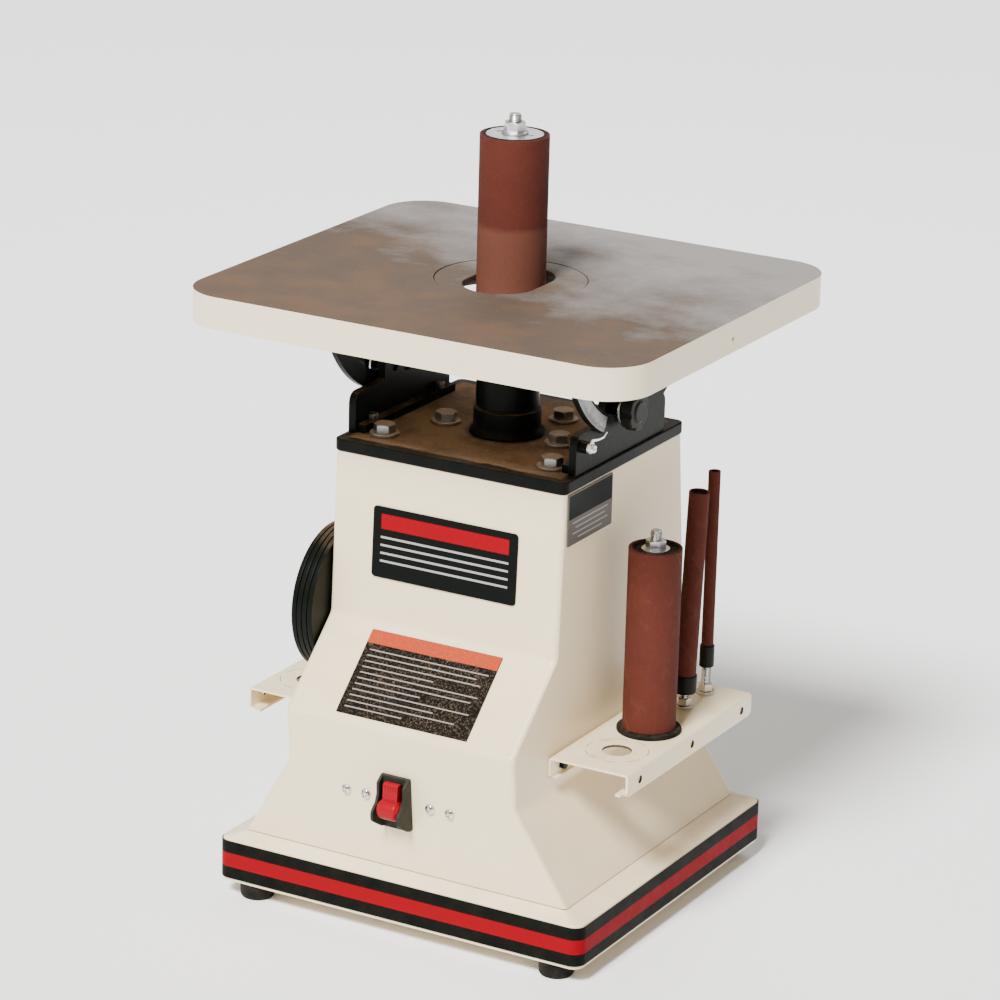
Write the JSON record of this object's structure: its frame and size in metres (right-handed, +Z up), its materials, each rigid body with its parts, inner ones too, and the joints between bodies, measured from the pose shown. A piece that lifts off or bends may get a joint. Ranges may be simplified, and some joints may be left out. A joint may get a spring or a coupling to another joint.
{
  "type": "oscillating spindle sander",
  "caption": "Benchtop spindle sander: a sanding drum rises through a tilting square table on a flared sheet-metal cabinet, with side shelves for spare drums and inserts.",
  "frame": {"origin": "on the bench plane directly under the spindle axis, which is also the middle of the table and of the whole object's plan", "axes": "+Z up along the spindle; the user stands at -Y facing +Y, and +X is the user's right, where the spare drums stand"},
  "size_m": [0.368, 0.33, 0.591],
  "materials": {
    "cream_paint": "semi-gloss, light orange peel, dusty near the base",
    "black_paint": "semi-gloss enamel on castings",
    "cast_table": "ground top, painted cream on the edge",
    "bright_steel": "zinc-plated and turned",
    "chrome": "bright domed screws",
    "rubber": "matt",
    "abrasive_cloth": "closed-coat aluminium oxide grit on cloth",
    "black_plastic": "moulded",
    "red_plastic": "moulded",
    "label_black": null,
    "stripe_tape": "black tape with a red stripe",
    "drive_bronze": "cut gear",
    "motor_iron": "dark grey"
  },
  "bodies": {
    "cabinet": {"base_tray": "cream_paint", "stripe_band": "stripe_tape", "foot_front_left": "rubber", "foot_front_right": "rubber", "foot_rear_left": "rubber", "foot_rear_right": "rubber", "cabinet_shell": "cream_paint", "rear_panel": "cream_paint", "top_plate": "black_paint", "plate_bolt_1": "bright_steel", "plate_bolt_2": "bright_steel", "plate_bolt_3": "bright_steel", "spindle_housing": "black_paint", "bracket_left": "black_paint", "bracket_right": "black_paint", "scale_pointer": "bright_steel", "gear_case": "motor_iron", "motor_case": "black_paint", "motor_end_bell": "motor_iron", "stator_core": "motor_iron", "storage_shelf_left": "cream_paint", "storage_shelf_right": "cream_paint", "insert_stack": "black_plastic", "insert_peg": "black_plastic", "badge_plate": "label_black", "notice_plate": "label_black", "side_plate": "label_black", "panel_screw_1": "chrome", "panel_screw_2": "chrome", "panel_screw_3": "chrome", "panel_screw_4": "chrome", "switch_bezel": "black_plastic", "dust_port": "black_plastic", "cord_inlet": "black_plastic"},
    "table": {"table_top": "cast_table", "table_insert": "cast_table", "trunnion_left": "black_paint", "trunnion_right": "black_paint", "degree_scale": "bright_steel"},
    "lock_knob_right": {"lock_knob_right": "black_plastic"},
    "lock_knob_left": {"lock_knob_left": "black_plastic"},
    "quill": {"quill_tube": "bright_steel", "lower_bearing": "bright_steel", "upper_bearing": "bright_steel"},
    "spindle": {"spindle_shaft": "bright_steel", "drum_core": "rubber", "sanding_sleeve": "abrasive_cloth", "drum_washer": "bright_steel", "drum_nut": "bright_steel"},
    "rotor": {"rotor_shaft": "bright_steel", "rotor_core": "motor_iron"},
    "worm_wheel": {"worm_wheel": "drive_bronze"},
    "link": {"connecting_link": "bright_steel"},
    "paddle": {"switch_paddle": "red_plastic"},
    "stored_drum": {"stored_drum_core": "rubber", "stored_sleeve": "abrasive_cloth"},
    "medium_tube": {"medium_tube_arbor": "black_plastic", "medium_tube_sleeve": "abrasive_cloth"},
    "small_tube": {"small_tube_arbor": "black_plastic", "small_tube_sleeve": "abrasive_cloth"}
  },
  "joints": [
    {"name": "table_tilt", "type": "hinge", "parent": "cabinet", "child": "table", "pos_m": [0, 0, 0.468], "axis": [1, 0, 0], "range_deg": [0, 45]},
    {"name": "lock_knob_right_turn", "type": "hinge", "parent": "cabinet", "child": "lock_knob_right", "pos_m": [0.11, -0.01304, 0.39008], "axis": [1, 0, 0], "range_deg": [0, 180]},
    {"name": "lock_knob_left_turn", "type": "hinge", "parent": "cabinet", "child": "lock_knob_left", "pos_m": [-0.11, -0.01304, 0.39008], "axis": [-1, 0, 0], "range_deg": [0, 180]},
    {"name": "quill_stroke", "type": "slide", "parent": "cabinet", "child": "quill", "axis": [0, 0, 1], "range_m": [0, 0.0254]},
    {"name": "spindle_spin", "type": "hinge", "parent": "quill", "child": "spindle", "pos_m": [0, 0, 0.35], "axis": [0, 0, 1], "continuous": true},
    {"name": "rotor_spin", "type": "hinge", "parent": "cabinet", "child": "rotor", "pos_m": [0, 0, 0.27], "axis": [0, 0, 1], "continuous": true},
    {"name": "worm_wheel_spin", "type": "hinge", "parent": "cabinet", "child": "worm_wheel", "pos_m": [-0.034, 0, 0.27], "axis": [0, 1, 0], "continuous": true},
    {"name": "link_swing", "type": "hinge", "parent": "worm_wheel", "child": "link", "pos_m": [-0.034, 0, 0.2573], "axis": [0, 1, 0], "continuous": true},
    {"name": "paddle_swing", "type": "hinge", "parent": "cabinet", "child": "paddle", "pos_m": [-0.002, -0.1519, 0.11921], "axis": [-1, 0, 0], "range_deg": [0, 20]},
    {"name": "stored_drum_lift", "type": "slide", "parent": "cabinet", "child": "stored_drum", "axis": [0, 0, 1], "range_m": [0, 0.06]},
    {"name": "medium_tube_lift", "type": "slide", "parent": "cabinet", "child": "medium_tube", "axis": [0, 0, 1], "range_m": [0, 0.06]},
    {"name": "small_tube_lift", "type": "slide", "parent": "cabinet", "child": "small_tube", "axis": [0, 0, 1], "range_m": [0, 0.06]}
  ],
  "couplings": [
    {"joint": "spindle_spin", "follows": "rotor_spin", "ratio": 1},
    {"joint": "worm_wheel_spin", "follows": "rotor_spin", "ratio": 0.041667},
    {"joint": "link_swing", "follows": "rotor_spin", "ratio": -0.041667}
  ]
}
